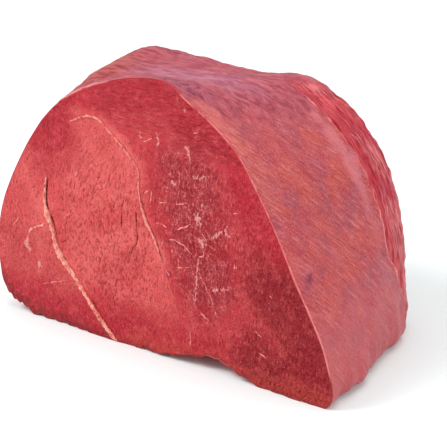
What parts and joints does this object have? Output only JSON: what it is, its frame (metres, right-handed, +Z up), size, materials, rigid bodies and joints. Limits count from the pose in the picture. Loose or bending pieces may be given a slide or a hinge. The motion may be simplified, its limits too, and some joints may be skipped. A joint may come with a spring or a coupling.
{
  "type": "beef sirloin tip roast",
  "caption": "Raw, trimmed joint of beef with one flat marbled cut face, a silverskin side that meets it in a sharp ridge, and a rounded natural end.",
  "frame": {"origin": "middle of the base, at the bottom of the bounding box, on the surface that the roast stands on", "axes": "+X across the cut face towards the silverskin side, +Y from the cut face towards the rounded end, +Z up"},
  "size_m": [0.1932, 0.12, 0.1335],
  "materials": {
    "raw_beef": "moist raw meat: red cut muscle, pinkish silverskin at one side, pale gristle seams and flecks of fat"
  },
  "bodies": {
    "root": {"roast": "raw_beef"}
  },
  "joints": []
}
